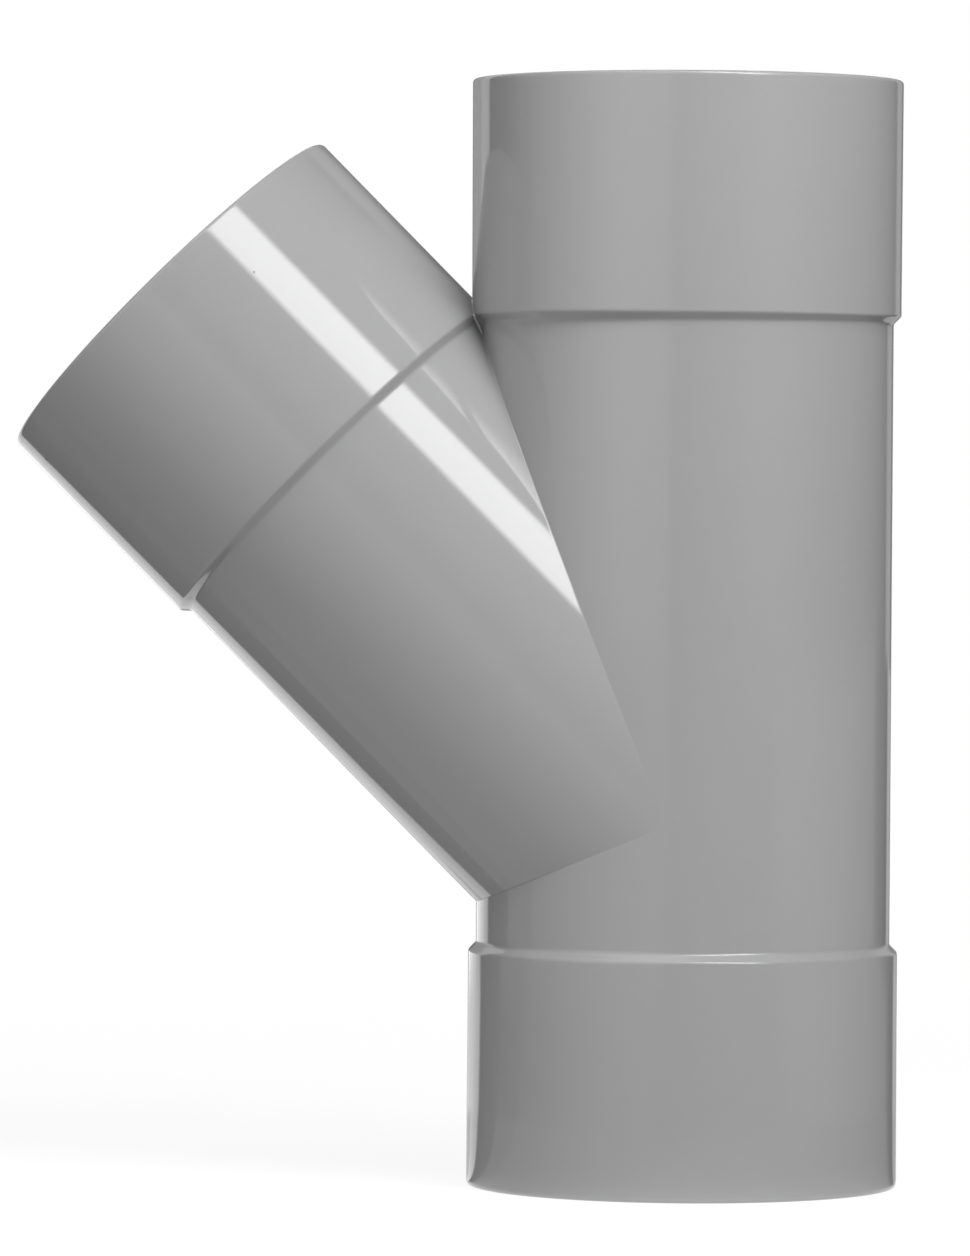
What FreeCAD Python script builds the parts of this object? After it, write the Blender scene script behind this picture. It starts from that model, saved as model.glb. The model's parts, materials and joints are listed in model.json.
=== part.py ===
import FreeCAD, Part
import math
import os

os.makedirs("parts", exist_ok=True)

# A 45 degree lateral wye for 110 mm drain pipe, moulded in one piece from rigid PVC.
# Millimetres. The run stands along Z, with the centre of its lower rim at the origin.
# The branch leaves it towards -X and upwards, and the halves of the mould meet at Y = 0.

# Pipe and sockets
pipe_diameter = 110.0         # outside diameter of the pipes that are glued in
socket_clearance = 0.2        # gap between a pipe and its socket, all round
socket_depth = 61.0           # from the rim to the ledge that stops the pipe
socket_wall = 3.2             # wall of a socket at its shoulder
mouth_draft = 0.2             # extra radius at the rim, which lets the moulding leave its tool
stop_ledge = 2.5              # width of the ledge that the end of the pipe meets
ledge_backing = 3.0           # how far a socket's outside runs on behind that ledge

# Body between the sockets
body_wall = 3.6
branch_angle = 45.0           # degrees between the upper run and the branch
lower_neck = 10.8             # plain tube from the lower shoulder to the foot of the branch
shoulder_setback = 1.3        # how far below the crotch the two upper shoulders begin

# Edges
lead_in_depth = 1.0           # bevel that guides the pipe into a socket
lead_in_width = 0.6
rim_rounding = 1.0
ledge_bevel = 0.6             # on the stop ledge's edge, inside
crease_width = 1.1            # the creases between the tubes are blunt, like the mould's edges

# Radii that follow from the pipe
socket_bore_radius = pipe_diameter / 2 + socket_clearance
waterway_radius = socket_bore_radius - stop_ledge
body_radius = waterway_radius + body_wall
socket_root_radius = socket_bore_radius + socket_wall
socket_rim_radius = socket_root_radius + mouth_draft

# Lengths along the axes, which cross at one point. Equal tubes at an angle meet in two flat
# curves: the crotch lies that far out on both upper arms, and the foot of the branch that far
# down the run.
half_angle = math.radians(branch_angle) / 2
crotch_reach = body_radius / math.tan(half_angle)
foot_drop = body_radius * math.tan(half_angle)
shoulder_rise = socket_root_radius - body_radius
socket_length = socket_depth + ledge_backing
crossing_height = socket_length + shoulder_rise + lower_neck + foot_drop
arm_length = crotch_reach - shoulder_setback + shoulder_rise + socket_length
run_length = crossing_height + arm_length

# How far a cutting shape runs on past the rim that it cuts
overshoot = 5.0

# Where the creases start, counted from the crossing: at the front and the back, the tubes are
# tangent there and have no crease yet
crease_start = 5.0


def turned(corners):
    """A solid turned about Z from a closed outline of (radius, height, rounding) corners."""
    points = [FreeCAD.Vector(radius, 0, height) for radius, height, rounding in corners]
    starts, ends, edges = [], [], []
    for i, corner in enumerate(points):
        rounding = corners[i][2]
        to_last = (points[i - 1] - corner).normalize()
        to_next = (points[(i + 1) % len(points)] - corner).normalize()
        half = to_last.getAngle(to_next) / 2
        tangent = rounding / math.tan(half)
        starts.append(corner + to_last * tangent)
        ends.append(corner + to_next * tangent)
        if rounding:
            inward = (to_last + to_next).normalize()
            middle = corner + inward * (rounding / math.sin(half) - rounding)
            edges.append(Part.Arc(starts[i], middle, ends[i]).toShape())
        if i:
            edges.append(Part.makeLine(ends[i - 1], starts[i]))
    edges.append(Part.makeLine(ends[-1], starts[0]))
    outline = Part.Wire(Part.__sortEdges__(edges))
    return Part.Face(outline).revolve(FreeCAD.Vector(0, 0, 0), FreeCAD.Vector(0, 0, 1), 360)


def socket_outside(rim, facing):
    """Outside corners of a socket, from its rim to the foot of its shoulder.

    facing is +1 for a mouth that looks up the axis and -1 for one that looks down.
    """
    crest = rim - facing * socket_length
    return [
        (socket_rim_radius, rim, rim_rounding),
        (socket_root_radius, crest, 0),
        (body_radius, crest - facing * shoulder_rise, 0),
    ]


def socket_inside(rim, facing):
    """Inside corners of a socket, from beyond its mouth to the bevel of its stop ledge."""
    ledge = rim - facing * socket_depth
    beyond = socket_bore_radius + lead_in_width * (1 + overshoot / lead_in_depth)
    return [
        (beyond, rim + facing * overshoot, 0),
        (socket_bore_radius, rim - facing * lead_in_depth, 0),
        (socket_bore_radius, ledge, 0),
        (waterway_radius + ledge_bevel, ledge, 0),
        (waterway_radius, ledge - facing * ledge_bevel, 0),
    ]


def run_from(corners):
    """The straight run, turned from one function's corners at both of its ends."""
    lower = corners(0, -1)
    upper = corners(run_length, +1)[::-1]
    return turned([(0, lower[0][1], 0)] + lower + upper + [(0, upper[-1][1], 0)])


def branch_from(corners, tube_radius):
    """The branch, turned from where the axes cross to its mouth, then leant over."""
    upper = corners(arm_length, +1)[::-1]
    branch = turned([(0, 0, 0), (tube_radius, 0, 0)] + upper + [(0, upper[-1][1], 0)])
    branch.rotate(FreeCAD.Vector(0, 0, 0), FreeCAD.Vector(0, 1, 0), -branch_angle)
    branch.translate(FreeCAD.Vector(0, 0, crossing_height))
    return branch


def crease_web(tube, along, towards_tube):
    """A slice of the tube that fills the sharp bottom of a crease, up to the crease's width.

    The crease lies in a plane, which goes out from the crossing in the direction along. The slice
    is the tube's section half a width to the tube's own side, carried over to the other side.
    """
    side = FreeCAD.Vector(0, run_length, 0)
    near = FreeCAD.Vector(0, 0, crossing_height) + along * crease_start + towards_tube * (crease_width / 2)
    far = near + along * run_length
    sheet = Part.Face(Part.makePolygon([near - side, near + side, far + side, far - side, near - side]))
    return sheet.common(tube).Faces[0].extrude(towards_tube * -crease_width)


def wye_body():
    """The moulding: both tubes joined outside, with the waterways and sockets cut through."""
    run = run_from(socket_outside)
    to_crotch = FreeCAD.Vector(-math.sin(half_angle), 0, math.cos(half_angle))
    to_foot = FreeCAD.Vector(-math.cos(half_angle), 0, -math.sin(half_angle))
    webs = [crease_web(run, to_crotch, to_foot * -1), crease_web(run, to_foot, to_crotch * -1)]
    outside = run.fuse(branch_from(socket_outside, body_radius)).fuse(webs)
    inside = run_from(socket_inside).fuse(branch_from(socket_inside, waterway_radius))
    return outside.cut(inside).removeSplitter()


body = wye_body()
print("valid", body.isValid(), "solids", len(body.Solids), "faces", len(body.Faces), "volume", body.Volume)
print("bounds", body.BoundBox)
body.exportStep("parts/wye_body.step")
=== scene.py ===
import json
import math

import bmesh
import bpy
from mathutils import Matrix, Quaternion, Vector


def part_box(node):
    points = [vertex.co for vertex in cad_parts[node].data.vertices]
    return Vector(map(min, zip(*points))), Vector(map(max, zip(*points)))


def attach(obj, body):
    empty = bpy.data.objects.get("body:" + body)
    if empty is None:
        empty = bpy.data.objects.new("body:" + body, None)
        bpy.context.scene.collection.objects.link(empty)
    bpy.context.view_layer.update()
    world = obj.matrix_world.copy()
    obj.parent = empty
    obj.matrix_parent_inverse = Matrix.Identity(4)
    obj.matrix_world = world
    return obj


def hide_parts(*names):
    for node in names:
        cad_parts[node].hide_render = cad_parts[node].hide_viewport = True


bl_info = {
    "name": "Lateral wye pipe fitting",
    "version": (1, 0, 0),
    "blender": (4, 5, 0),
    "location": "3D View > Sidebar > Wye",
    "description": "Dresses the 45 degree lateral wye with its moulded surface and sets up its studio",
    "category": "Object",
}

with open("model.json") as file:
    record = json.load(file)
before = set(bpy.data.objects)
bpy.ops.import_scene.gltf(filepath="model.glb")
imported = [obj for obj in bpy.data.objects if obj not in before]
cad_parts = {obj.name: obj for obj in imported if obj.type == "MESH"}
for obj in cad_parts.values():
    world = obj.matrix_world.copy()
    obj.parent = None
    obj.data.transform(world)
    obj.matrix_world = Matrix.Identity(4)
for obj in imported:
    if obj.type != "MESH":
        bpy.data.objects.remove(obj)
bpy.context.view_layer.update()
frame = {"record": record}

NODE = "wye_body"
MM = 0.001

# What the frame says: the fitting's box, and the bores and axes of its sockets
NODE_LOW, NODE_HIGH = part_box(NODE)
mounts = {mount["name"]: mount for mount in frame["record"]["mounts"]}
BORE_RADIUS = mounts["lower_socket"]["dims"]["r_mm"] * MM
RUN_LENGTH = NODE_HIGH.z - NODE_LOW.z
RIM_RADIUS = NODE_HIGH.x


def lean_of_branch():
    """The angle between the run and the branch, from the branch socket's axis."""
    return Vector((0, 0, 1)).angle(Vector(mounts["branch_socket"]["axis"]))


class WyeSizes(bpy.types.PropertyGroup):
    """Sizes of the moulding, in metres."""

    socket_depth: bpy.props.FloatProperty(
        name="Socket depth", description="From the rim to the ledge that stops the pipe",
        default=61.0 * MM, unit="LENGTH")
    ledge_backing: bpy.props.FloatProperty(
        name="Ledge backing", description="How far a socket's outside runs on behind its ledge",
        default=3.0 * MM, unit="LENGTH")
    socket_wall: bpy.props.FloatProperty(
        name="Socket wall", description="Wall of a socket at its shoulder",
        default=3.2 * MM, unit="LENGTH")
    stop_ledge: bpy.props.FloatProperty(
        name="Stop ledge", description="Width of the ledge that the end of the pipe meets",
        default=2.5 * MM, unit="LENGTH")
    body_wall: bpy.props.FloatProperty(
        name="Body wall", description="Wall of the plain tubes between the sockets",
        default=3.6 * MM, unit="LENGTH")
    lower_neck: bpy.props.FloatProperty(
        name="Lower neck", description="Plain tube from the lower shoulder to the foot of the branch",
        default=10.8 * MM, unit="LENGTH")
    lead_in_depth: bpy.props.FloatProperty(
        name="Lead-in depth", description="Depth of the bevel that guides the pipe in",
        default=1.0 * MM, unit="LENGTH")
    lead_in_width: bpy.props.FloatProperty(
        name="Lead-in width", description="Width of that bevel",
        default=0.6 * MM, unit="LENGTH")
    rim_rounding: bpy.props.FloatProperty(
        name="Rim rounding", description="Radius of a rim's outer edge",
        default=1.0 * MM, unit="LENGTH")
    crest_rounding: bpy.props.FloatProperty(
        name="Crest rounding", description="Radius where a shoulder meets its socket",
        default=1.0 * MM, unit="LENGTH")
    foot_rounding: bpy.props.FloatProperty(
        name="Foot rounding", description="Radius where a shoulder meets the plain tube",
        default=1.2 * MM, unit="LENGTH")
    inner_rounding: bpy.props.FloatProperty(
        name="Inner rounding", description="Radius of the edges inside a socket",
        default=0.5 * MM, unit="LENGTH")
    crotch_rounding: bpy.props.FloatProperty(
        name="Crotch rounding", description="Radius in the crease between the branch and the upper run",
        default=0.15 * MM, unit="LENGTH")
    heel_rounding: bpy.props.FloatProperty(
        name="Heel rounding", description="Radius in the crease between the branch and the lower run",
        default=0.3 * MM, unit="LENGTH")
    heel_groove: bpy.props.FloatProperty(
        name="Heel groove", description="Depth of the fine groove that the mould's edge left in that crease",
        default=0.3 * MM, unit="LENGTH")
    pocket_floor: bpy.props.FloatProperty(
        name="Pocket floor",
        description="How far from the parting plane the pocket between the upper shoulders is filled",
        default=14.6 * MM, unit="LENGTH")
    pocket_rounding: bpy.props.FloatProperty(
        name="Pocket rounding", description="Radius of that filling's hollow bottom",
        default=1.8 * MM, unit="LENGTH")
    flash_thickness: bpy.props.FloatProperty(
        name="Flash thickness", description="Thickness of the thin fin of plastic left in the notch",
        default=0.3 * MM, unit="LENGTH")
    parting_height: bpy.props.FloatProperty(
        name="Parting height", description="Height of the ridge where the mould's halves meet",
        default=0.1 * MM, unit="LENGTH")
    parting_width: bpy.props.FloatProperty(
        name="Parting width", description="Width of that ridge",
        default=0.5 * MM, unit="LENGTH")
    columns: bpy.props.IntProperty(
        name="Columns", description="Faces round each tube; a multiple of four",
        default=256, min=16, step=4)


class WyeFinish(bpy.types.PropertyGroup):
    """Colours and gloss of the plastic, and the paler colour of the flash, which is painted light."""

    grey: bpy.props.FloatVectorProperty(
        name="Grey", description="Colour of the plastic",
        default=(0.374, 0.374, 0.376), size=3, subtype="COLOR", min=0, max=1)
    speck: bpy.props.FloatVectorProperty(
        name="Speck", description="Colour of the few dark specks in it",
        default=(0.08, 0.08, 0.08), size=3, subtype="COLOR", min=0, max=1)
    # Painted light: the flash gets a paler grey than the plastic, so that the thin fin looks lit inside the
    # shaded notch
    painted_lit_grey: bpy.props.FloatVectorProperty(
        name="Pale grey", description="Colour of the thin flash, where the plastic is stretched",
        default=(0.75, 0.75, 0.75), size=3, subtype="COLOR", min=0, max=1)
    torn: bpy.props.FloatProperty(
        name="Torn roughness", description="Roughness of the flash",
        default=0.4, min=0, max=1, subtype="FACTOR")
    roughness: bpy.props.FloatProperty(
        name="Roughness", description="Roughness of the moulded skin",
        default=0.07, min=0, max=1, subtype="FACTOR")
    floor: bpy.props.FloatVectorProperty(
        name="Floor", description="Colour of the studio's floor",
        default=(0.14, 0.14, 0.14), size=3, subtype="COLOR", min=0, max=1)


class WyeStudio(bpy.types.PropertyGroup):
    """Brightness of the studio's walls and lamps, where 1 is white."""

    key: bpy.props.FloatProperty(
        name="Key light", description="Radiance of the soft box at the upper right",
        default=10.4, min=0)
    overhead: bpy.props.FloatProperty(
        name="Overhead", description="Radiance of the diffuser above",
        default=1.55, min=0)
    left_wall: bpy.props.FloatProperty(
        name="Left wall", description="Radiance of the bright wall at the left",
        default=1.4, min=0)
    right_wall: bpy.props.FloatProperty(
        name="Right wall", description="Radiance of the dim wall at the right",
        default=0.55, min=0)
    backdrop: bpy.props.FloatProperty(
        name="Backdrop", description="Radiance of the backdrop that rises behind the table",
        default=0.75, min=0)
    table: bpy.props.FloatProperty(
        name="Table", description="Radiance of the white table, where the light falls on it",
        default=1.1, min=0)
    room: bpy.props.FloatProperty(
        name="Room", description="Radiance of the gaps between the walls",
        default=0.03, min=0)


class Plan:
    """Radii and lengths that follow from the sizes."""

    def __init__(self, sizes):
        self.sizes = sizes
        self.bore = BORE_RADIUS
        self.rim = RIM_RADIUS
        self.root = self.bore + sizes.socket_wall
        self.waterway = self.bore - sizes.stop_ledge
        self.body = self.waterway + sizes.body_wall
        self.mid_wall = (self.body + self.waterway) / 2     # parts the outside from the inside
        self.rise = self.root - self.body
        self.socket = sizes.socket_depth + sizes.ledge_backing
        self.lean = lean_of_branch()
        self.half = self.lean / 2
        self.crossing = self.socket + self.rise + sizes.lower_neck + self.body * math.tan(self.half)
        self.run = RUN_LENGTH
        self.arm = self.run - self.crossing
        self.centre = Vector((0, 0, self.crossing))


# Corners of a tube's section are (radius, height, rounding)

def outside_corners(plan, rim, facing):
    """Outside of a socket, from its rim to the foot of its shoulder."""
    crest = rim - facing * plan.socket
    return [
        (plan.rim, rim, plan.sizes.rim_rounding),
        (plan.root, crest, plan.sizes.crest_rounding),
        (plan.body, crest - facing * plan.rise, plan.sizes.foot_rounding),
    ]


def inside_corners(plan, rim, facing):
    """Inside of a socket, from its mouth to the edge of its stop ledge."""
    sizes = plan.sizes
    ledge = rim - facing * sizes.socket_depth
    return [
        (plan.bore + sizes.lead_in_width, rim, sizes.inner_rounding / 2),
        (plan.bore, rim - facing * sizes.lead_in_depth, sizes.inner_rounding),
        (plan.bore, ledge, sizes.inner_rounding),
        (plan.waterway, ledge, sizes.inner_rounding),
    ]


HOLD = 0.5 * MM        # plain strip kept beside each rounding, so that it doesn't shade what is flat
HOLD_ROOM = 2.5        # a line has to be longer than so many strips to get them
ARC_SEGMENTS = 4


def section(corners, closed):
    """A bmesh that holds one tube's section in the XZ plane, with its corners rounded."""
    bm = bmesh.new()
    verts = [bm.verts.new((radius, 0, height)) for radius, height, _ in corners]
    for a, b in zip(verts, verts[1:]):
        bm.edges.new((a, b))
    if closed:
        bm.edges.new((verts[-1], verts[0]))
    for vert, (_, _, rounding) in zip(verts, corners):
        if rounding:
            arms = [edge.other_vert(vert).co - vert.co for edge in vert.link_edges]
            tangent = rounding / math.tan(arms[0].angle(arms[1]) / 2)
            bmesh.ops.bevel(
                bm, geom=[vert], offset=tangent, segments=ARC_SEGMENTS, profile=0.5,
                affect="VERTICES", material=-1)
    for edge in [edge for edge in bm.edges if edge.calc_length() > HOLD_ROOM * HOLD]:
        length = edge.calc_length()
        near, far = edge.verts
        middle = bmesh.utils.edge_split(edge, near, HOLD / length)[1]
        long_part = next(e for e in far.link_edges if middle in e.verts)
        bmesh.utils.edge_split(long_part, far, HOLD / (length - HOLD))
    return bm


def spun(bm, columns):
    """Spins a section once round Z into a tube."""
    bmesh.ops.spin(
        bm, geom=bm.verts[:] + bm.edges[:], cent=(0, 0, 0), axis=(0, 0, 1), dvec=(0, 0, 0),
        angle=math.tau, steps=columns, use_merge=True, use_duplicate=False)
    return bm


CUT_SLACK = 0.0001 * MM     # this near to a cutting plane, a corner counts as lying in it
IN_PARTING = 0.001 * MM     # and this near to the parting plane, in that


def slice_faces(bm, faces, point, normal):
    """Cuts faces along a plane, and leaves both sides."""
    edges = {edge for face in faces for edge in face.edges}
    verts = {vert for face in faces for vert in face.verts}
    bmesh.ops.bisect_plane(
        bm, geom=list(verts) + list(edges) + list(faces), dist=CUT_SLACK,
        plane_co=point, plane_no=normal)


def parting_ridge(bm, plan, rims):
    """Raises the fine ridge that the mould's halves leave along both outer sides of a tube."""
    sizes = plan.sizes
    one_face = plan.rim * math.sin(math.tau / sizes.columns)
    bottom, top = rims

    def outer_strip():
        found = []
        for face in bm.faces:
            place = face.calc_center_median()
            if abs(place.y) < one_face and abs(place.x) > plan.mid_wall:
                if bottom + sizes.rim_rounding < place.z < top - sizes.rim_rounding:
                    if abs(place.x) > plan.bore + sizes.socket_wall / 2 or on_body(plan, place.z, rims):
                        found.append(face)
        return found

    for offset in (-1, -0.5, 0.5, 1):
        slice_faces(bm, outer_strip(), Vector((0, offset * sizes.parting_width, 0)), Vector((0, 1, 0)))
    raised = {vert for face in outer_strip() for vert in face.verts if abs(vert.co.y) < IN_PARTING}
    for vert in raised:
        vert.co.x = math.copysign(min(abs(vert.co.x) + sizes.parting_height, plan.rim), vert.co.x)


def on_body(plan, height, rims):
    """Whether a height lies between a tube's two ledges, where its wall is the body's."""
    bottom, top = rims
    return bottom + plan.sizes.socket_depth < height < top - plan.sizes.socket_depth


def run_tube(plan):
    """The straight run, with a socket at both ends."""
    top = plan.run
    corners = outside_corners(plan, 0, -1) + outside_corners(plan, top, 1)[::-1]
    corners += inside_corners(plan, top, 1) + inside_corners(plan, 0, -1)[::-1]
    bm = spun(section(corners, closed=True), plan.sizes.columns)
    parting_ridge(bm, plan, (0, top))
    return bm


BRANCH_ROOT = 20 * MM      # how far the branch starts below the crossing; the cuts take it away


def branch_tube(plan):
    """The branch, from below the crossing to its socket, leant over."""
    corners = [(plan.body, -BRANCH_ROOT, 0)] + outside_corners(plan, plan.arm, 1)[::-1]
    corners += inside_corners(plan, plan.arm, 1) + [(plan.waterway, -BRANCH_ROOT, 0)]
    bm = spun(section(corners, closed=False), plan.sizes.columns)
    parting_ridge(bm, plan, (-plan.socket - BRANCH_ROOT, plan.arm))
    bmesh.ops.rotate(bm, verts=bm.verts, cent=(0, 0, 0), matrix=Matrix.Rotation(-plan.lean, 3, "Y"))
    bmesh.ops.translate(bm, verts=bm.verts, vec=plan.centre)
    return bm


class Crease:
    """One of the two planes in which the branch meets the run."""

    def __init__(self, plan, normal, along, half, rounding):
        self.centre = plan.centre
        self.normal = normal        # towards the run
        self.along = along          # from the crossing out to the crotch or the heel
        self.half = half            # half the angle between the two tubes
        self.rounding = rounding
        self.reach = rounding * math.cos(half)      # where the rounding ends, on each side

    def side(self, point):
        """Distance from the plane, positive on the run's side."""
        return (point - self.centre).dot(self.normal)

    def out(self, point):
        """Distance from the crossing, along the plane."""
        return (point - self.centre).dot(self.along)

    def lift(self, distance):
        """How far the rounding lies above the sharp crease, at a distance from the plane."""
        arc = self.rounding / math.sin(self.half) - math.sqrt(self.rounding ** 2 - distance ** 2)
        return arc - abs(distance) / math.tan(self.half)


def creases(plan):
    """The crease of the crotch, and that of the heel."""
    sine, cosine = math.sin(plan.half), math.cos(plan.half)
    crotch = Crease(
        plan, Vector((cosine, 0, sine)), Vector((-sine, 0, cosine)), plan.half,
        plan.sizes.crotch_rounding)
    heel = Crease(
        plan, Vector((sine, 0, -cosine)), Vector((-cosine, 0, -sine)), math.pi / 2 - plan.half,
        plan.sizes.heel_rounding)
    return crotch, heel


def cut_for_branch(bm, pair):
    """Opens the run where the branch comes in."""
    for crease in pair:
        left = [face for face in bm.faces if face.calc_center_median().x < 0]
        slice_faces(bm, left, crease.centre, crease.normal)
    wedge = [
        face for face in bm.faces
        if all(crease.side(face.calc_center_median()) < 0 for crease in pair)]
    bmesh.ops.delete(bm, geom=wedge, context="FACES")


def cut_to_run(bm, pair):
    """Cuts the branch's lower end to the two planes."""
    for crease in pair:
        slice_faces(bm, bm.faces[:], crease.centre, crease.normal)
        beyond = [face for face in bm.faces if crease.side(face.calc_center_median()) > 0]
        bmesh.ops.delete(bm, geom=beyond, context="FACES")


LOOPS = (0.25, 0.5, 0.75, 1.0, 2.5)     # cuts beside a crease, in shares of its rounding's reach
CREASE_START = 1.0 * MM                 # the tubes are tangent at the crossing: no crease there yet
CREASE_GROWS = 8.0 * MM                 # over this much of its start, the rounding grows to its size
WITHIN_REACH = 0.999                    # share of the reach up to which corners are moved
SLOPE_SLACK = 0.02 * MM                 # on a shoulder's slope, this far from both of its ends


def round_crease(bm, crease, plan):
    """Rounds the sharp edge between the tubes, outside and inside."""
    for share in LOOPS:
        for way in (-1, 1):
            near = [
                face for face in bm.faces
                if face.calc_center_median().x < 0
                and crease.out(face.calc_center_median()) > CREASE_START]
            offset = crease.normal * (way * share * crease.reach)
            slice_faces(bm, near, crease.centre + offset, crease.normal)
    for vert in bm.verts:
        distance = crease.side(vert.co)
        out = crease.out(vert.co)
        if abs(distance) < crease.reach * WITHIN_REACH and out > CREASE_START:
            if not on_shoulder(vert.co, plan, crease):
                grown = min(1.0, (out - CREASE_START) / CREASE_GROWS)
                vert.co += crease.along * (crease.lift(distance) * grown)


def on_shoulder(point, plan, crease):
    """Whether a point near a crease lies on a shoulder's slope, between body and socket."""
    if crease.side(point) < 0:
        axis = Vector((-math.sin(plan.lean), 0, math.cos(plan.lean)))
        offset = point - plan.centre
        radius = (offset - axis * offset.dot(axis)).length
    else:
        radius = point.xy.length
    return plan.body + SLOPE_SLACK < radius < plan.root - SLOPE_SLACK


GROOVE_FADES = (22 * MM, 42 * MM)   # from the crossing, along the heel: where the groove sets in
GROOVE_HALF = 0.3                   # half its width, as a share of the rounding's reach
GROOVE_UNEVEN = 0.25                # share of its depth that comes and goes
GROOVE_WAVE = 0.9 * MM              # length per radian of the wave in which it does
GROOVE_BEAT = 2.6                   # and how much faster the second wave runs


def cut_groove(bm, heel, plan):
    """Sinks the bottom of the heel's crease on the outside, unevenly, where the branch leaves the run."""
    start, full = GROOVE_FADES
    for vert in bm.verts:
        out = heel.out(vert.co)
        if out > start and abs(heel.side(vert.co)) < heel.reach * GROOVE_HALF:
            if vert.co.xy.length > plan.mid_wall:
                grown = min(1.0, (out - start) / (full - start))
                turn = out / GROOVE_WAVE
                wave = math.sin(turn) * math.sin(GROOVE_BEAT * turn)
                uneven = 1 - GROOVE_UNEVEN + GROOVE_UNEVEN * wave
                vert.co -= heel.along * (plan.sizes.heel_groove * grown * uneven)


# Around the pocket between the upper shoulders, the faces are cut finer
POCKET_RANGE = 9 * MM       # so far from its middle
POCKET_CUTS = (0.3 * MM, 0.6 * MM, 0.9 * MM, 1.3 * MM)     # so far beside the crotch's plane
POCKET_STEP = 0.5 * MM      # and so far apart along it
POCKET_TOP = 2.6 * MM       # how far beyond its middle the filling goes, towards the crotch


def pocket_place(plan):
    """Middle of the slot under the crests of the two upper shoulders, in the crotch's plane."""
    height = plan.arm - plan.socket - plan.rise
    across = -height * math.tan(plan.half)
    return Vector((across, -plan.sizes.pocket_floor, plan.crossing + height))


def fill_pocket(bm, crotch, plan):
    """Fills the narrow slot under the crests, which the mould's steel could not reach into."""
    middle = pocket_place(plan)
    mirror = Vector((1, -1, 1))
    sizes = plan.sizes

    def faces_near():
        found = []
        for face in bm.faces:
            place = face.calc_center_median()
            if min((place - middle).length, (place * mirror - middle).length) < POCKET_RANGE:
                if place.xy.length > plan.mid_wall:
                    found.append(face)
        return found

    for offset in POCKET_CUTS:
        for way in (-1, 1):
            slice_faces(bm, faces_near(), crotch.centre + crotch.normal * (way * offset), crotch.normal)
    steps = round(POCKET_RANGE / POCKET_STEP)
    for step in range(-steps, steps):
        slice_faces(bm, faces_near(), middle + crotch.along * (step * POCKET_STEP), crotch.along)
    for vert in {vert for face in faces_near() for vert in face.verts}:
        distance = abs(crotch.side(vert.co))
        if distance < sizes.pocket_rounding and abs(vert.co.z - middle.z) < POCKET_RANGE / 2:
            hollow = sizes.pocket_rounding - math.sqrt(sizes.pocket_rounding ** 2 - distance ** 2)
            bottom = sizes.pocket_floor + hollow
            if abs(vert.co.y) < bottom and crotch.out(vert.co) < crotch.out(middle) + POCKET_TOP:
                vert.co.y = math.copysign(bottom, vert.co.y or -1)


# The thin fin of flash in the notch. Each point is (distance along the crotch's plane from the
# crossing, distance from the parting plane, height of the fin, how far its edge leans to the
# run), in millimetres
FLASH = (
    (152.4, 2.0, 0.5, 0.0), (151.6, 5.6, 0.6, -0.1), (150.7, 8.4, 0.5, -0.1), (149.8, 10.6, 0.7, 0.0),
    (149.0, 12.2, 0.6, -0.2), (148.2, 13.6, 0.9, -0.3), (147.4, 14.4, 1.0, -0.1), (146.6, 14.6, 1.5, 0.3),
    (145.9, 14.6, 1.1, -0.2), (145.3, 14.6, 2.0, 0.1), (144.7, 14.6, 1.3, 0.4), (144.1, 14.6, 2.1, 0.2),
    (143.5, 14.6, 1.4, 0.6), (142.9, 14.6, 2.0, 0.3), (142.3, 15.0, 1.0, 0.5), (141.7, 15.4, 0.4, 0.2),
)
FLASH_SUNK = 0.5        # millimetres that the fin's foot lies in the crease
FLASH_RISES = Vector((0.55, -0.83))     # the way that its height goes: along the plane, and forward


def flash_mesh(plan, crotch):
    """The fin of flash that the mould's halves left in the notch, at the front."""
    bm = bmesh.new()
    feet = []
    for along, forward, _, _ in FLASH:
        foot = crotch.centre + crotch.along * (along * MM)
        foot.y = -forward * MM
        feet.append(bm.verts.new(foot - rise_of_flash(crotch, FLASH_SUNK)))
    line = [bm.edges.new(pair) for pair in zip(feet, feet[1:])]
    grown = bmesh.ops.extrude_edge_only(bm, edges=line)["geom"]
    edge = [item for item in grown if isinstance(item, bmesh.types.BMVert)]
    edge.sort(key=lambda vert: crotch.out(vert.co), reverse=True)
    for vert, (_, _, height, lean) in zip(edge, FLASH):
        vert.co += rise_of_flash(crotch, FLASH_SUNK + height) + crotch.normal * (lean * MM)
    bmesh.ops.translate(bm, verts=bm.verts, vec=crotch.normal * (-plan.sizes.flash_thickness / 2))
    bmesh.ops.recalc_face_normals(bm, faces=bm.faces)
    bmesh.ops.solidify(bm, geom=bm.faces[:], thickness=plan.sizes.flash_thickness)
    bmesh.ops.recalc_face_normals(bm, faces=bm.faces)
    mesh = bpy.data.meshes.new("flash")
    bm.to_mesh(mesh)
    bm.free()
    return mesh


def rise_of_flash(crotch, height):
    """A step of so many millimetres out of the crease."""
    return crotch.along * (FLASH_RISES.x * height * MM) + Vector((0, FLASH_RISES.y * height * MM, 0))


def joined(bm, other):
    """Adds one bmesh to another, through a mesh that is removed again."""
    carrier = bpy.data.meshes.new("carrier")
    other.to_mesh(carrier)
    other.free()
    bm.from_mesh(carrier)
    bpy.data.meshes.remove(carrier)


WELD = 0.004 * MM       # the cut edges of both tubes meet to within this
SLIVER = 0.001 * MM     # edges shorter than this go


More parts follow.
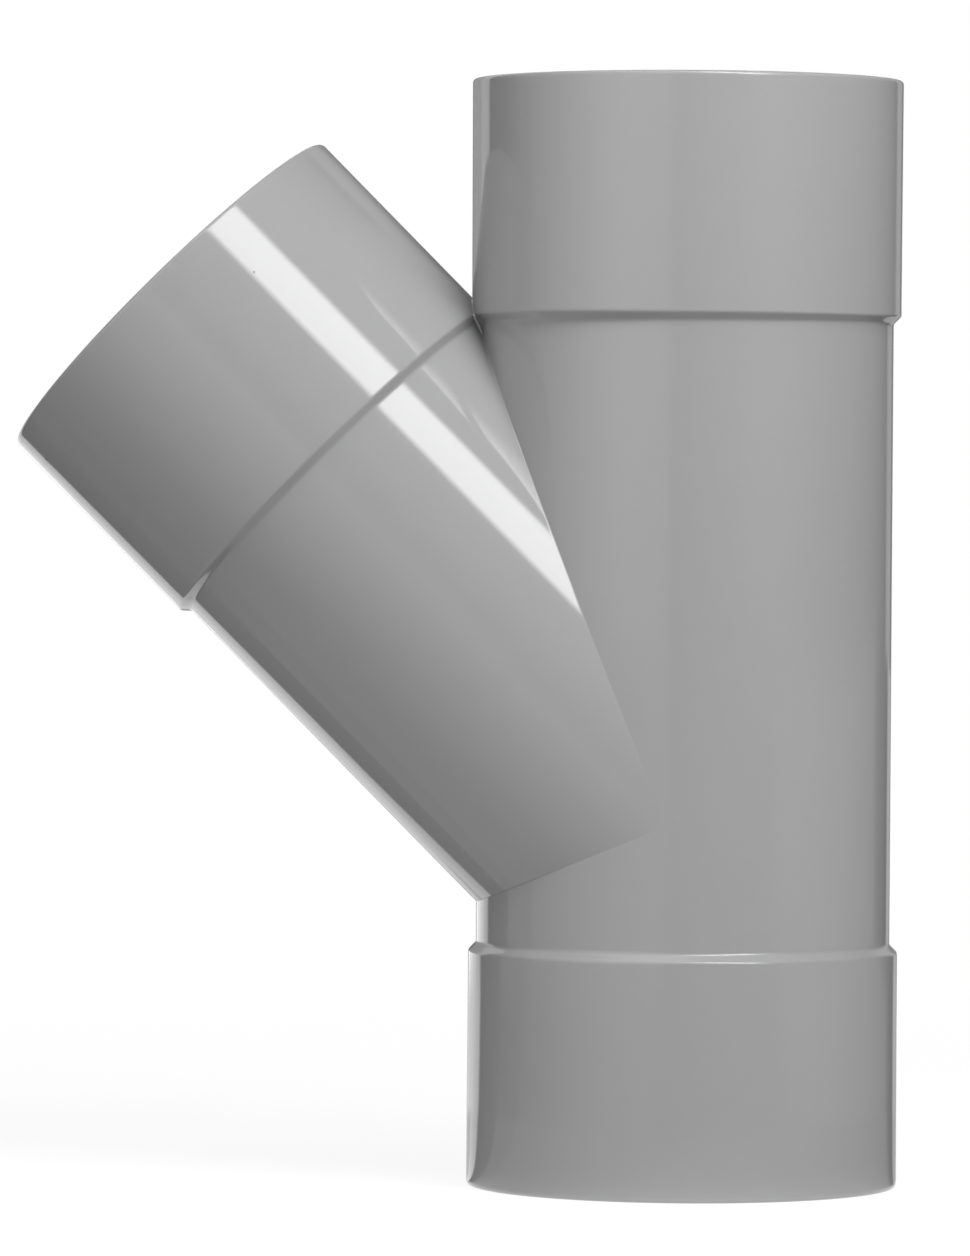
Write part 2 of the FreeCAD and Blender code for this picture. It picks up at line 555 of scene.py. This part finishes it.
def wye_mesh(plan):
    """Both tubes, cut to each other and joined."""
    pair = creases(plan)
    bm = run_tube(plan)
    cut_for_branch(bm, pair)
    branch = branch_tube(plan)
    cut_to_run(branch, pair)
    joined(bm, branch)
    bmesh.ops.remove_doubles(bm, verts=bm.verts, dist=WELD)
    for crease in pair:
        round_crease(bm, crease, plan)
    crotch, heel = pair
    cut_groove(bm, heel, plan)
    fill_pocket(bm, crotch, plan)
    bmesh.ops.dissolve_degenerate(bm, edges=bm.edges, dist=SLIVER)
    bmesh.ops.recalc_face_normals(bm, faces=bm.faces)
    for face in bm.faces:
        face.smooth = True
    mesh = bpy.data.meshes.new("moulding")
    bm.to_mesh(mesh)
    open_edges = sum(1 for edge in bm.edges if not edge.is_manifold)
    bm.free()
    if open_edges:
        raise RuntimeError(f"The moulding has {open_edges} edges that aren't closed")
    return mesh


def grey(value):
    """A neutral colour."""
    return (value, value, value, 1.0)


def node_group(name, inputs, outputs):
    """A new shader group with its sockets, and its input and output nodes."""
    group = bpy.data.node_groups.new(name, "ShaderNodeTree")
    for label, kind, default in inputs:
        socket = group.interface.new_socket(label, in_out="INPUT", socket_type=kind)
        if default is not None:
            socket.default_value = default
    for label, kind in outputs:
        group.interface.new_socket(label, in_out="OUTPUT", socket_type=kind)
    return group, group.nodes.new("NodeGroupInput"), group.nodes.new("NodeGroupOutput")


def shared(name, build):
    """The shader group of that name, built when the first material asks for it."""
    if name not in bpy.data.node_groups:
        build(name)
    return bpy.data.node_groups[name]


def feed(tree, sockets, values):
    """Feeds sockets in turn, each with another socket's output or a plain value."""
    for socket, value in zip(sockets, values):
        if isinstance(value, bpy.types.NodeSocket):
            tree.links.new(value, socket)
        else:
            socket.default_value = value


def fed(tree, kind, group=None, **values):
    """A new node, its inputs fed by name with sockets or plain values."""
    node = tree.nodes.new(kind)
    if group:
        node.node_tree = group
    feed(tree, [node.inputs[label] for label in values], values.values())
    return node


def maths(tree, operation, *values):
    """A Math node's output, from sockets or plain numbers."""
    node = tree.nodes.new("ShaderNodeMath")
    node.operation = operation
    feed(tree, node.inputs, values)
    return node.outputs[0]


def vector_maths(tree, operation, *values):
    """A Vector Math node's output, from sockets or plain vectors."""
    node = tree.nodes.new("ShaderNodeVectorMath")
    node.operation = operation
    feed(tree, node.inputs, values)
    return node.outputs["Value" if operation in ("LENGTH", "DISTANCE") else "Vector"]


def noise(tree, vector, scale, detail=2.0, roughness=0.5):
    """A noise texture's value."""
    node = fed(
        tree, "ShaderNodeTexNoise", Vector=vector, Scale=scale, Detail=detail, Roughness=roughness)
    return node.outputs["Fac"]


def span(tree, value, low, high, out_low=0.0, out_high=1.0, smooth=True):
    """Maps a value's range to another, eased at both ends if it is smooth."""
    ends = {"From Min": low, "From Max": high, "To Min": out_low, "To Max": out_high}
    node = fed(tree, "ShaderNodeMapRange", Value=value, **ends)
    node.interpolation_type = "SMOOTHSTEP" if smooth else "LINEAR"
    return node.outputs["Result"]


def between(tree, factor, first, second):
    """Mixes two colours."""
    mix = tree.nodes.new("ShaderNodeMix")
    mix.data_type = "RGBA"
    feed(tree, [mix.inputs[label] for label in ("Factor", "A", "B")], (factor, first, second))
    return mix.outputs["Result"]


def mixed(tree, factor, first, second):
    """Mixes two shaders."""
    mix = tree.nodes.new("ShaderNodeMixShader")
    feed(tree, mix.inputs, (factor, first, second))
    return mix.outputs[0]


def for_camera(tree, output, rest, seen):
    """Ends a tree with one shader for what the camera sees, and another for all other rays."""
    camera = tree.nodes.new("ShaderNodeLightPath").outputs["Is Camera Ray"]
    fed(tree, output, Surface=mixed(tree, camera, rest, seen))


# The moulded skin: about how many of each unevenness fit in a metre
WAVE_SCALE = 45.0
PEEL_SCALE = 900.0
MOTTLE_SCALE = 120.0


def skin_group(name):
    """Height of a moulded skin: slow sink marks, and the fine texture of the mould's polish."""
    group, start, end = node_group(
        name,
        [("Vector", "NodeSocketVector", None), ("Waves", "NodeSocketFloat", 1.0),
         ("Peel", "NodeSocketFloat", 1.0)],
        [("Height", "NodeSocketFloat"), ("Mottle", "NodeSocketFloat")])
    place = start.outputs["Vector"]
    waves = noise(group, place, WAVE_SCALE, detail=1.0)
    peel = noise(group, place, PEEL_SCALE)
    waves = maths(group, "MULTIPLY", waves, start.outputs["Waves"])
    peel = maths(group, "MULTIPLY", peel, start.outputs["Peel"])
    group.links.new(maths(group, "ADD", waves, peel), end.inputs["Height"])
    mottle = noise(group, place, MOTTLE_SCALE, detail=4.0, roughness=0.6)
    group.links.new(mottle, end.inputs["Mottle"])


SPOT_CORE = 0.6         # share of a spot's radius at which its soft edge begins


def spot_group(name):
    """A mask of one round spot, soft at its edge."""
    group, start, end = node_group(
        name,
        [("Vector", "NodeSocketVector", None), ("Place", "NodeSocketVector", None),
         ("Radius", "NodeSocketFloat", 1.0 * MM)],
        [("Mask", "NodeSocketFloat")])
    distance = vector_maths(group, "DISTANCE", start.outputs["Vector"], start.outputs["Place"])
    share = maths(group, "DIVIDE", distance, start.outputs["Radius"])
    group.links.new(span(group, share, SPOT_CORE, 1.0, 1.0, 0.0), end.inputs["Mask"])


WAVE_HEIGHT = 0.025 * MM
PEEL_HEIGHT = 0.0006 * MM
SCUFF_HEIGHT = 0.02 * MM
PVC_INDEX = 1.5                 # of refraction
SHADE_SPREAD = (0.985, 1.015)   # shares of the colour, between which the mottle goes
ROUGHNESS_SPREAD = (0.9, 1.12)  # and of the roughness
MOTTLE_RANGE = (0.3, 0.7)       # values of the mottle at which the roughness reaches them

# Marks that the photograph shows on the branch, each (place, radius) in millimetres: two dark specks
# in the plastic, and three faint scuffs
SPECKS = (((-111.9, -53.0, 247.0), 0.4), ((-172.4, -23.4, 196.8), 0.6))
SCUFFS = (((-74.3, -56.0, 182.8), 0.8), ((-71.7, -56.0, 180.3), 0.6), ((-72.4, -56.3, 172.3), 0.7))


def spots(tree, place, marks):
    """A mask of several marks together."""
    together = None
    for centre, radius in marks:
        spot = fed(
            tree, "ShaderNodeGroup", shared("spot", spot_group),
            Vector=place, Place=[value * MM for value in centre], Radius=radius * MM)
        mask = spot.outputs["Mask"]
        together = mask if together is None else maths(tree, "MAXIMUM", together, mask)
    return together


def plastic(name, finish, colour, roughness):
    """PVC with the gloss of a polished mould."""
    material = bpy.data.materials.new(name)
    material.use_nodes = True
    tree = material.node_tree
    place = tree.nodes.new("ShaderNodeTexCoord").outputs["Object"]

    skin = fed(
        tree, "ShaderNodeGroup", shared("moulded_skin", skin_group),
        Vector=place, Waves=WAVE_HEIGHT, Peel=PEEL_HEIGHT)
    scuffs = maths(tree, "MULTIPLY", spots(tree, place, SCUFFS), SCUFF_HEIGHT)
    height = maths(tree, "ADD", skin.outputs["Height"], scuffs)
    bump = fed(tree, "ShaderNodeBump", Strength=1.0, Distance=1.0, Height=height)

    mottle = skin.outputs["Mottle"]
    smoothest, roughest = (roughness * share for share in ROUGHNESS_SPREAD)
    darkest, lightest = ([value * share for value in colour] + [1.0] for share in SHADE_SPREAD)
    shade = between(tree, mottle, darkest, lightest)
    specks = spots(tree, place, SPECKS)
    looks = {
        "Base Color": between(tree, specks, shade, list(finish.speck) + [1.0]),
        "Roughness": span(tree, mottle, *MOTTLE_RANGE, smoothest, roughest),
        "IOR": PVC_INDEX,
        "Normal": bump.outputs["Normal"],
    }
    shader = tree.nodes["Principled BSDF"]
    feed(tree, [shader.inputs[label] for label in looks], looks.values())
    return material


def show(mesh, name, material):
    """Puts a finished mesh into the scene, with its material."""
    piece = bpy.data.objects.new(name, mesh)
    mesh.materials.append(material)
    bpy.context.scene.collection.objects.link(piece)
    return piece


class WYE_OT_moulding(bpy.types.Operator):
    """Builds the one moulding, with its roundings, creases and parting line"""

    bl_idname = "wye.moulding"
    bl_label = "Moulding"

    def execute(self, context):
        plan = Plan(context.scene.wye_sizes)
        mesh = wye_mesh(plan)
        finish = context.scene.wye_finish
        piece = show(mesh, "moulding", plastic("grey_pvc", finish, finish.grey, finish.roughness))
        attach(piece, "root")
        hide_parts(NODE)
        return {"FINISHED"}


class WYE_OT_flash(bpy.types.Operator):
    """Adds the fin of flash that the mould left in the notch"""

    bl_idname = "wye.flash"
    bl_label = "Flash"

    def execute(self, context):
        plan = Plan(context.scene.wye_sizes)
        finish = context.scene.wye_finish
        mesh = flash_mesh(plan, creases(plan)[0])
        # The flash's paler grey is painted light, which makes the fin look lit in the shaded notch
        piece = show(mesh, "flash", plastic("flash_pvc_painted_lit", finish, finish.painted_lit_grey, finish.torn))
        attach(piece, "root")
        return {"FINISHED"}


# The studio has three rings of walls, one above the other, and three rings on the table, nearer
# and further. Bearings are degrees from straight behind the fitting, positive to the right. Each
# part of a ring is (from bearing, to bearing, what sets its brightness, share of that brightness
# at its start, share at its end)

WALLS = (
    (-180.0, -176.0, "right_wall", 0.1, 0.1),
    (-176.0, -150.0, "left_wall", 0.4, 1.0),
    (-150.0, -138.0, "left_wall", 1.0, 1.0),
    (-138.0, -93.5, "left_wall", 1.0, 0.45),
    (-93.5, -91.5, "left_wall", 0.3, 0.3),
    (-91.5, -73.0, "left_wall", 0.35, 0.05),
    (-73.0, -51.0, "room", 1.0, 1.0),
    (-51.0, -39.0, "backdrop", 1.45, 1.3),
    (-39.0, -15.0, "backdrop", 0.85, 0.5),
    (-15.0, 12.0, "backdrop", 0.25, 0.25),
    (12.0, 25.0, "backdrop", 0.65, 0.55),
    (25.0, 30.0, "room", 1.0, 1.0),
    (30.0, 90.0, "right_wall", 0.1, 0.35),
    (90.0, 130.0, "right_wall", 0.35, 1.0),
    (130.0, 145.0, "right_wall", 1.0, 0.7),
    (145.0, 180.0, "right_wall", 0.45, 0.05),
)
HIGH_WALLS = (
    (-180.0, -140.0, "overhead", 0.8, 0.65),
    (-140.0, -112.0, "overhead", 0.65, 0.1),
    (-112.0, -42.0, "room", 1.0, 1.0),
    (-42.0, -5.0, "overhead", 0.6, 0.6),
    (-5.0, 28.0, "overhead", 0.25, 0.25),
    (28.0, 180.0, "room", 1.0, 1.0),
)
TOP = (
    (-180.0, -60.0, "overhead", 1.0, 0.7),
    (-60.0, 60.0, "room", 1.0, 1.0),
    (60.0, 180.0, "overhead", 0.15, 0.75),
)
TABLE_NEAR = (
    (-180.0, -142.0, "table", 0.45, 0.5),
    (-142.0, -92.0, "table", 0.55, 0.45),
    (-92.0, -71.0, "table", 0.3, 0.3),
    (-71.0, -45.0, "room", 1.0, 1.0),
    (-45.0, -28.0, "table", 1.1, 1.1),
    (-28.0, 2.0, "table", 0.7, 0.6),
    (2.0, 19.0, "table", 0.5, 0.5),
    (19.0, 32.0, "room", 1.0, 1.0),
    (32.0, 120.0, "table", 0.2, 0.5),
    (120.0, 180.0, "table", 0.5, 0.4),
)
TABLE_MIDDLE = (
    (-180.0, -176.0, "table", 0.15, 0.15),
    (-176.0, -150.0, "table", 0.4, 0.45),
    (-150.0, -92.0, "table", 0.45, 0.2),
    (-92.0, -90.0, "table", 0.05, 0.05),
    (-90.0, -71.0, "table", 0.1, 0.1),
    (-71.0, -46.0, "room", 1.0, 1.0),
    (-46.0, -30.0, "table", 1.2, 1.25),
    (-30.0, -15.0, "table", 1.1, 0.9),
    (-15.0, 2.0, "table", 0.6, 0.4),
    (2.0, 19.0, "table", 0.5, 0.6),
    (19.0, 32.0, "room", 1.0, 1.0),
    (32.0, 100.0, "table", 0.2, 0.7),
    (100.0, 125.0, "table", 0.7, 0.6),
    (125.0, 180.0, "table", 0.3, 0.15),
)
TABLE_FAR = (
    (-180.0, -176.0, "table", 0.15, 0.15),
    (-176.0, -150.0, "table", 0.45, 0.55),
    (-150.0, -92.0, "table", 0.6, 0.45),
    (-92.0, -90.0, "table", 0.05, 0.05),
    (-90.0, -71.0, "table", 0.35, 0.35),
    (-71.0, -45.0, "room", 1.0, 1.0),
    (-45.0, -38.0, "table", 1.1, 1.1),
    (-38.0, -15.0, "table", 1.4, 1.5),
    (-15.0, 5.0, "table", 0.25, 0.25),
    (5.0, 18.0, "table", 0.5, 0.5),
    (18.0, 42.0, "room", 1.0, 1.0),
    (42.0, 100.0, "table", 0.25, 0.7),
    (100.0, 125.0, "table", 0.7, 0.6),
    (125.0, 180.0, "table", 0.3, 0.15),
)
WALL_EDGE = 1.5             # degrees over which one part turns into the next
BRIGHTEST = 2.0             # what a ring's white stands for
TOP_OF_WALLS = (17.0, 23.0)     # degrees up, over which the walls give way to the high ones
TOP_OF_HIGH_WALLS = (34.0, 40.0)
GAP_UNDER_TOP = 0.06            # share of white in the gap above them
EDGE_OF_TOP = (52.0, 58.0)      # and over which the diffuser above begins
TABLE_LINE = (                  # the parts of the table point away from the line between these
    Vector((-0.056, -0.007, 0)), Vector((0.056, -0.007, 0)))
TABLE_NEAR_ENDS = (0.22, 0.29)      # metres from it, over which the near ring ends
TABLE_MIDDLE_ENDS = (0.7, 1.2)      # and the middle one
TABLE_UNDER = 0.9                   # share of the table's light close under the rim
TABLE_UNDER_ENDS = (0.059, 0.066)   # metres from the run's axis, over which that part ends


def ring(tree, vector, parts, studio):
    """Brightness round the studio by bearing, as shares of BRIGHTEST."""
    split = fed(tree, "ShaderNodeSeparateXYZ", Vector=vector)
    bearing = maths(tree, "ARCTAN2", split.outputs["X"], split.outputs["Y"])
    turn = maths(tree, "MULTIPLY_ADD", bearing, 1 / math.tau, 0.5)
    ramp = fed(tree, "ShaderNodeValToRGB", Fac=turn)
    stops = ramp.color_ramp.elements

    def stop_at(degrees):
        return stops.new(degrees / 360 + 0.5)

    for part in parts:
        start, end, name, at_start, at_end = part
        level = getattr(studio, name) / BRIGHTEST
        first = stops[0] if part is parts[0] else stop_at(start + WALL_EDGE / 2)
        first.color = grey(level * at_start)
        last = stops[-1] if part is parts[-1] else stop_at(end - WALL_EDGE / 2)
        last.color = grey(level * at_end)
    return ramp.outputs["Color"]


def studio_world(studio):
    """White behind everything that the camera sees, and the studio's walls for all other rays."""
    world = bpy.data.worlds.new("studio")
    world.use_nodes = True
    tree = world.node_tree
    tree.nodes.clear()
    direction = tree.nodes.new("ShaderNodeTexCoord").outputs["Generated"]
    split = fed(tree, "ShaderNodeSeparateXYZ", Vector=direction)

    def above(elevations):
        limits = [math.sin(math.radians(angle)) for angle in elevations]
        return span(tree, split.outputs["Z"], *limits)

    walls, high_walls, top = (
        ring(tree, direction, parts, studio) for parts in (WALLS, HIGH_WALLS, TOP))
    colour = between(tree, above(TOP_OF_WALLS), walls, high_walls)
    colour = between(tree, above(TOP_OF_HIGH_WALLS), colour, grey(GAP_UNDER_TOP))
    colour = between(tree, above(EDGE_OF_TOP), colour, top)
    room = fed(tree, "ShaderNodeBackground", Color=colour, Strength=BRIGHTEST)
    white = fed(tree, "ShaderNodeBackground", Color=grey(1.0))
    for_camera(tree, "ShaderNodeOutputWorld", room.outputs[0], white.outputs[0])
    bpy.context.scene.world = world


FLOOR_WHITE = 0.9           # plain white in the floor near the fitting; the rest of it takes shadows
FLOOR_FADES = (0.3, 0.9)    # metres from the middle, over which the floor turns plain white
FLOOR_HALF = 6.0            # metres, half its side


def floor_material(finish, studio):
    """White to the camera but for the fitting's soft shadow; the table's light to all other rays."""
    material = bpy.data.materials.new("studio_floor")
    material.use_nodes = True
    tree = material.node_tree
    tree.nodes.clear()
    point = tree.nodes.new("ShaderNodeTexCoord").outputs["Object"]
    left, right = TABLE_LINE
    nearest = vector_maths(tree, "MAXIMUM", vector_maths(tree, "MINIMUM", point, right), left)
    place = vector_maths(tree, "SUBTRACT", point, nearest)
    away = vector_maths(tree, "LENGTH", place)
    radius = vector_maths(tree, "LENGTH", point)

    near, middle, far = (
        ring(tree, place, parts, studio) for parts in (TABLE_NEAR, TABLE_MIDDLE, TABLE_FAR))
    under = grey(studio.table * TABLE_UNDER / BRIGHTEST)
    near = between(tree, span(tree, radius, *TABLE_UNDER_ENDS), under, near)
    colour = between(tree, span(tree, away, *TABLE_NEAR_ENDS), near, middle)
    colour = between(tree, span(tree, away, *TABLE_MIDDLE_ENDS), colour, far)
    table = fed(tree, "ShaderNodeEmission", Color=colour, Strength=BRIGHTEST)

    diffuse = fed(tree, "ShaderNodeBsdfDiffuse", Color=list(finish.floor) + [1.0])
    glow = fed(tree, "ShaderNodeEmission", Color=grey(FLOOR_WHITE))
    shaded = tree.nodes.new("ShaderNodeAddShader")
    feed(tree, shaded.inputs, (diffuse.outputs[0], glow.outputs[0]))
    white = fed(tree, "ShaderNodeEmission", Color=grey(1.0))
    seen = mixed(tree, span(tree, radius, *FLOOR_FADES), shaded.outputs[0], white.outputs[0])
    for_camera(tree, "ShaderNodeOutputMaterial", table.outputs[0], seen)
    return material


def lay_floor(finish, studio):
    """A wide plane under the fitting."""
    bm = bmesh.new()
    bmesh.ops.create_grid(bm, x_segments=1, y_segments=1, size=FLOOR_HALF)
    mesh = bpy.data.meshes.new("floor")
    bm.to_mesh(mesh)
    bm.free()
    floor = show(mesh, "floor", floor_material(finish, studio))


# The camera, as it stood when the photograph was taken, with its turns in degrees
CAMERA_PLACE = Vector((0.168806, -2.206533, 0.192027))
CAMERA_YAW = -5.7826
CAMERA_PITCH = 1.0478
CAMERA_ROLL = 0.3693
PHOTO_HEIGHT = 1256         # pixels
FOCAL_PIXELS = 8120.6       # focal length in pixels of that photograph
SENSOR = 36.0               # millimetres
SIGHT = 50.0                # metres to which the camera sees

# The soft box, which the branch mirrors as a band along its upper side. Lengths are in metres
BOX_AIM = Vector((-0.09, -0.03, 0.19))      # a point in the middle of that band
BOX_DISTANCE = 1.2
BOX_TURN = 49.6             # degrees from the way to the camera, round the branch, to the box's middle
BOX_LEAN = 8.0              # degrees that the middle lies further along the branch
BOX_WIDTH = 0.51
BOX_LENGTH = 1.3
BOX_FADES = {"X": 0.14, "Y": 0.3}    # shares of width and length over which the light fades out
BRANCH_AXIS = Vector(mounts["branch_socket"]["axis"])


def box_material(studio):
    """A glowing cloth, dimmer towards its edges."""
    material = bpy.data.materials.new("soft_box")
    material.use_nodes = True
    tree = material.node_tree
    tree.nodes.clear()
    place = tree.nodes.new("ShaderNodeTexCoord").outputs["UV"]
    split = fed(tree, "ShaderNodeSeparateXYZ", Vector=place)
    light = studio.key
    for axis, fade in BOX_FADES.items():
        outward = maths(tree, "ABSOLUTE", maths(tree, "SUBTRACT", split.outputs[axis], 0.5))
        share = span(tree, outward, 0.5 - fade, 0.5, 1.0, 0.0, smooth=False)
        light = maths(tree, "MULTIPLY", share, light)
    glow = fed(tree, "ShaderNodeEmission", Strength=light)
    fed(tree, "ShaderNodeOutputMaterial", Surface=glow.outputs[0])
    return material


def hang_soft_box(studio):
    """The soft box at the upper right, with its long sides along the branch."""
    to_camera = (CAMERA_PLACE - BOX_AIM).normalized()
    side = to_camera - BRANCH_AXIS * to_camera.dot(BRANCH_AXIS)
    side.rotate(Quaternion(BRANCH_AXIS, math.radians(BOX_TURN)))
    lean = Quaternion(BRANCH_AXIS.cross(side), -math.radians(BOX_LEAN))
    back = side.normalized()
    back.rotate(lean)
    across = BRANCH_AXIS.cross(back).normalized()
    turn = Matrix((across, back.cross(across), back)).transposed()
    bm = bmesh.new()
    bm.loops.layers.uv.new("UVMap")
    bmesh.ops.create_grid(bm, x_segments=1, y_segments=1, size=0.5, calc_uvs=True)
    bmesh.ops.scale(bm, verts=bm.verts, vec=(BOX_WIDTH, BOX_LENGTH, 1))
    bmesh.ops.rotate(bm, verts=bm.verts, cent=(0, 0, 0), matrix=turn)
    bmesh.ops.translate(bm, verts=bm.verts, vec=BOX_AIM + back * BOX_DISTANCE)
    mesh = bpy.data.meshes.new("soft_box")
    bm.to_mesh(mesh)
    bm.free()
    box = show(mesh, "soft_box", box_material(studio))
    box.visible_camera = False


def place_camera():
    """The camera at the photograph's place and angle."""
    lens = bpy.data.cameras.new("camera")
    lens.sensor_fit = "AUTO"
    lens.sensor_width = SENSOR
    lens.lens = FOCAL_PIXELS / PHOTO_HEIGHT * SENSOR
    lens.clip_end = SIGHT
    camera = bpy.data.objects.new("camera", lens)
    turn = (
        Matrix.Rotation(math.radians(CAMERA_ROLL), 3, "Y")
        @ Matrix.Rotation(math.radians(CAMERA_PITCH), 3, "X")
        @ Matrix.Rotation(math.radians(CAMERA_YAW), 3, "Z"))
    right, ahead, up = turn
    axes = Matrix((right, up, -ahead)).transposed()
    camera.matrix_world = Matrix.Translation(CAMERA_PLACE) @ axes.to_4x4()
    bpy.context.scene.collection.objects.link(camera)
    bpy.context.scene.camera = camera


class WYE_OT_stage(bpy.types.Operator):
    """Sets up the floor, the studio's light and the camera"""

    bl_idname = "wye.stage"
    bl_label = "Stage"

    def execute(self, context):
        scene = context.scene
        lay_floor(scene.wye_finish, scene.wye_studio)
        studio_world(scene.wye_studio)
        hang_soft_box(scene.wye_studio)
        place_camera()
        scene.view_settings.view_transform = "Standard"
        return {"FINISHED"}


class WYE_PT_panel(bpy.types.Panel):
    """Lists the fitting's sizes, its finish, and the steps that build it"""

    bl_idname = "WYE_PT_panel"
    bl_label = "Lateral wye"
    bl_space_type = "VIEW_3D"
    bl_region_type = "UI"
    bl_category = "Wye"

    def draw(self, context):
        for group in (context.scene.wye_sizes, context.scene.wye_finish, context.scene.wye_studio):
            box = self.layout.box()
            for name in group.__annotations__:
                box.prop(group, name)
        for operator in (WYE_OT_moulding, WYE_OT_flash, WYE_OT_stage):
            self.layout.operator(operator.bl_idname)


GROUPS = {"wye_sizes": WyeSizes, "wye_finish": WyeFinish, "wye_studio": WyeStudio}
CLASSES = (
    WyeSizes, WyeFinish, WyeStudio, WYE_OT_moulding, WYE_OT_flash, WYE_OT_stage, WYE_PT_panel)


def register():
    """Adds the add-on's classes, and its settings to every scene."""
    for each in CLASSES:
        bpy.utils.register_class(each)
    for name, group in GROUPS.items():
        setattr(bpy.types.Scene, name, bpy.props.PointerProperty(type=group))


def unregister():
    """Takes them away again."""
    for name in GROUPS:
        delattr(bpy.types.Scene, name)
    for each in reversed(CLASSES):
        bpy.utils.unregister_class(each)


def main():
    """Builds the fitting and its studio."""
    register()
    bpy.ops.wye.moulding()
    bpy.ops.wye.flash()
    bpy.ops.wye.stage()


if __name__ == "__main__":
    main()
